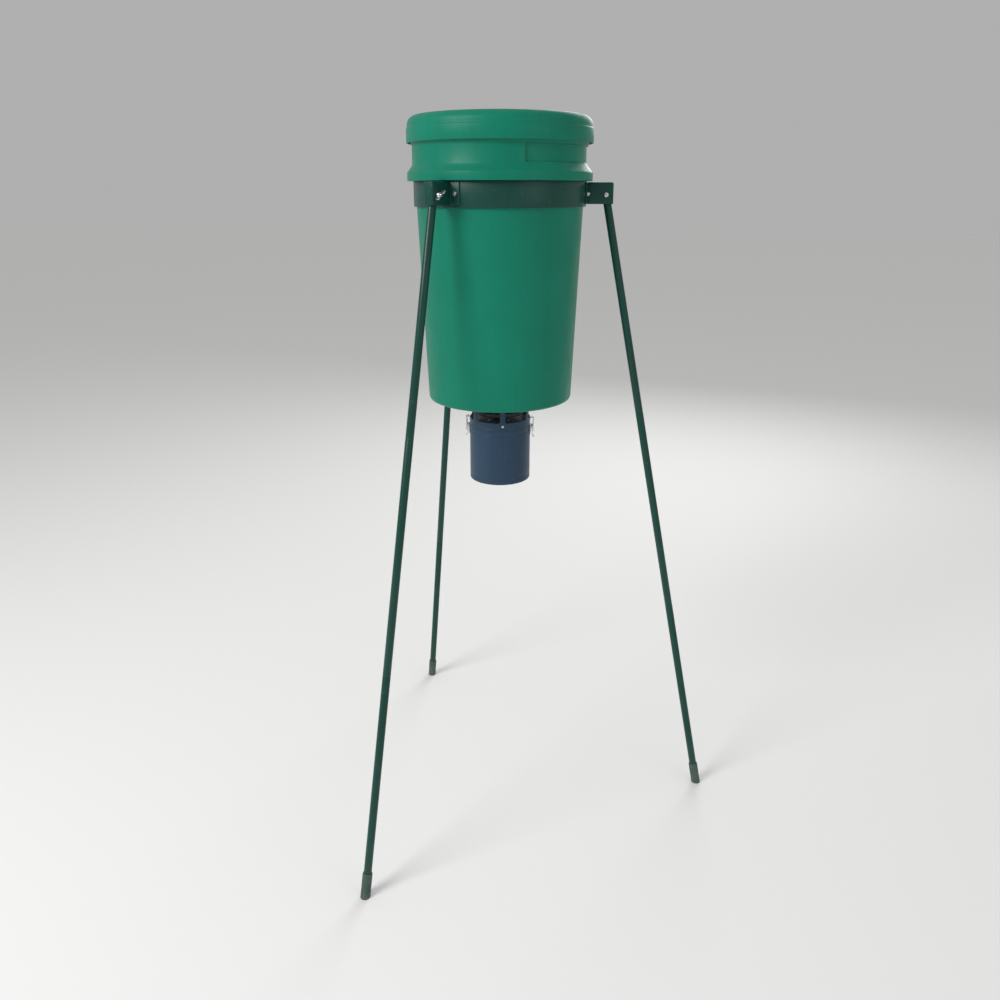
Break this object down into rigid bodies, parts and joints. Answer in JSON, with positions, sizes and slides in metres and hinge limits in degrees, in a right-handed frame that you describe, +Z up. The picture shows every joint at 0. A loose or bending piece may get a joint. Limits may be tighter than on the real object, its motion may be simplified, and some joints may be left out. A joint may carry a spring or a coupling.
{
  "type": "spin cast feeder",
  "caption": "Lidded pail hopper held in a steel hoop on splayed sectional legs, with a windowed spinner unit and battery can under its floor.",
  "frame": {"origin": "middle of the whole stand's base, on the ground", "axes": "+Z up along the hopper's axis, one leg towards +X, the timer's panel towards -Y"},
  "size_m": [0.7282, 0.8378, 1.506],
  "materials": {
    "hopper_green": "moulded, satin",
    "lid_green": "moulded, satin",
    "stand_green": "powder coated, satin",
    "leg_green": "powder coated, satin",
    "unit_blue": "powder coated, satin",
    "slinger_coat": "powder coated, matt",
    "bright_steel": "zinc plated",
    "wire_steel": "bright plated",
    "motor_steel": "drawn steel can",
    "hub_brass": "turned",
    "foot_rubber": "moulded, matt",
    "seal_rubber": "soft foam, matt",
    "black_plastic": "moulded, fine texture",
    "panel_plastic": "moulded, matt",
    "display": "grey-green display",
    "board": "solder-masked laminate",
    "button_rubber": "moulded, matt",
    "battery_case": "moulded, matt",
    "tray_plastic": "moulded, matt"
  },
  "bodies": {
    "stand": {"hoop_band": "stand_green", "leg_bracket_1": "stand_green", "leg_bracket_2": "stand_green", "leg_bracket_3": "stand_green", "bracket_bolts": "bright_steel", "bracket_nuts": "bright_steel", "pivot_bolts": "bright_steel", "pivot_wing_nuts": "bright_steel"},
    "leg_1": {"leg_1_upper": "leg_green"},
    "leg_1_mid": {"leg_1_middle": "leg_green"},
    "leg_1_low": {"leg_1_lower": "leg_green", "foot_cap_1": "foot_rubber"},
    "leg_2": {"leg_2_upper": "leg_green"},
    "leg_2_mid": {"leg_2_middle": "leg_green"},
    "leg_2_low": {"leg_2_lower": "leg_green", "foot_cap_2": "foot_rubber"},
    "leg_3": {"leg_3_upper": "leg_green"},
    "leg_3_mid": {"leg_3_middle": "leg_green"},
    "leg_3_low": {"leg_3_lower": "leg_green", "foot_cap_3": "foot_rubber"},
    "hopper": {"hopper_pail": "hopper_green", "outlet_spout": "tray_plastic", "floor_bolts": "bright_steel", "floor_nuts": "bright_steel", "guard_shell": "unit_blue", "motor_deck": "unit_blue", "shell_screws": "bright_steel", "deck_screws": "bright_steel", "motor": "motor_steel", "timer_bracket": "bright_steel", "timer_case": "black_plastic", "timer_panel": "panel_plastic", "timer_screen": "display", "timer_board": "board", "latch_keepers": "wire_steel"},
    "lid": {"hopper_lid": "lid_green", "lid_gasket": "seal_rubber"},
    "spinner": {"spinner_disc": "slinger_coat", "spinner_hub": "hub_brass", "spinner_set_screw": "bright_steel", "motor_shaft": "bright_steel"},
    "can": {"housing_can": "unit_blue", "battery_tray": "tray_plastic", "battery": "battery_case", "battery_terminals": "bright_steel", "latch_1_base": "bright_steel", "latch_2_base": "bright_steel"},
    "latch_1": {"latch_1_lever": "wire_steel"},
    "latch_1_wire": {"latch_1_loop": "wire_steel"},
    "latch_2": {"latch_2_lever": "wire_steel"},
    "latch_2_wire": {"latch_2_loop": "wire_steel"},
    "button_1": {"timer_button_1": "button_rubber"},
    "button_2": {"timer_button_2": "button_rubber"},
    "button_3": {"timer_button_3": "button_rubber"},
    "button_4": {"timer_button_4": "button_rubber"}
  },
  "joints": [
    {"name": "leg_1_fold", "type": "hinge", "parent": "stand", "child": "leg_1", "pos_m": [0.09393, 0, 1.358], "axis": [0, -1, 0], "range_deg": [-17, 0]},
    {"name": "leg_1_mid_pull", "type": "slide", "parent": "leg_1", "child": "leg_1_mid", "axis": [0.188, 0, -0.9822], "range_m": [0, 0.05]},
    {"name": "leg_1_low_pull", "type": "slide", "parent": "leg_1_mid", "child": "leg_1_low", "axis": [0.188, 0, -0.9822], "range_m": [0, 0.05]},
    {"name": "leg_2_fold", "type": "hinge", "parent": "stand", "child": "leg_2", "pos_m": [-0.22407, 0.1836, 1.358], "axis": [0.866, 0.5, 0], "range_deg": [-17, 0]},
    {"name": "leg_2_mid_pull", "type": "slide", "parent": "leg_2", "child": "leg_2_mid", "axis": [-0.094, 0.1629, -0.9822], "range_m": [0, 0.05]},
    {"name": "leg_2_low_pull", "type": "slide", "parent": "leg_2_mid", "child": "leg_2_low", "axis": [-0.094, 0.1629, -0.9822], "range_m": [0, 0.05]},
    {"name": "leg_3_fold", "type": "hinge", "parent": "stand", "child": "leg_3", "pos_m": [-0.22407, -0.1836, 1.358], "axis": [-0.866, 0.5, 0], "range_deg": [-17, 0]},
    {"name": "leg_3_mid_pull", "type": "slide", "parent": "leg_3", "child": "leg_3_mid", "axis": [-0.094, -0.1629, -0.9822], "range_m": [0, 0.05]},
    {"name": "leg_3_low_pull", "type": "slide", "parent": "leg_3_mid", "child": "leg_3_low", "axis": [-0.094, -0.1629, -0.9822], "range_m": [0, 0.05]},
    {"name": "hopper_lift", "type": "slide", "parent": "stand", "child": "hopper", "axis": [0, 0, 1], "range_m": [0, 0.64]},
    {"name": "lid_lift", "type": "slide", "parent": "hopper", "child": "lid", "axis": [0, 0, 1], "range_m": [0, 0.12]},
    {"name": "spinner_spin", "type": "hinge", "parent": "hopper", "child": "spinner", "pos_m": [-0.11807, 0, 0.905], "axis": [0, 0, 1], "continuous": true},
    {"name": "can_drop", "type": "slide", "parent": "hopper", "child": "can", "axis": [0, 0, -1], "range_m": [0, 0.14]},
    {"name": "latch_1_open", "type": "hinge", "parent": "can", "child": "latch_1", "pos_m": [-0.04807, 0, 0.875], "axis": [0, -1, 0], "range_deg": [0, 100]},
    {"name": "latch_1_wire_swing", "type": "hinge", "parent": "latch_1", "child": "latch_1_wire", "pos_m": [-0.04587, 0, 0.8675], "axis": [0, -1, 0], "range_deg": [-100, 0]},
    {"name": "latch_2_open", "type": "hinge", "parent": "can", "child": "latch_2", "pos_m": [-0.18807, 0, 0.875], "axis": [0, 1, 0], "range_deg": [0, 100]},
    {"name": "latch_2_wire_swing", "type": "hinge", "parent": "latch_2", "child": "latch_2_wire", "pos_m": [-0.19027, 0, 0.8675], "axis": [0, 1, 0], "range_deg": [-100, 0]},
    {"name": "button_1_press", "type": "slide", "parent": "hopper", "child": "button_1", "axis": [0, 1, 0], "range_m": [0, 0.001], "stiffness_N_per_m": 300, "springref_m": -0.002},
    {"name": "button_2_press", "type": "slide", "parent": "hopper", "child": "button_2", "axis": [0, 1, 0], "range_m": [0, 0.001], "stiffness_N_per_m": 300, "springref_m": -0.002},
    {"name": "button_3_press", "type": "slide", "parent": "hopper", "child": "button_3", "axis": [0, 1, 0], "range_m": [0, 0.001], "stiffness_N_per_m": 300, "springref_m": -0.002},
    {"name": "button_4_press", "type": "slide", "parent": "hopper", "child": "button_4", "axis": [0, 1, 0], "range_m": [0, 0.001], "stiffness_N_per_m": 300, "springref_m": -0.002}
  ],
  "couplings": [
    {"joint": "latch_1_wire_swing", "follows": "latch_1_open", "ratio": -1},
    {"joint": "latch_2_wire_swing", "follows": "latch_2_open", "ratio": -1}
  ]
}
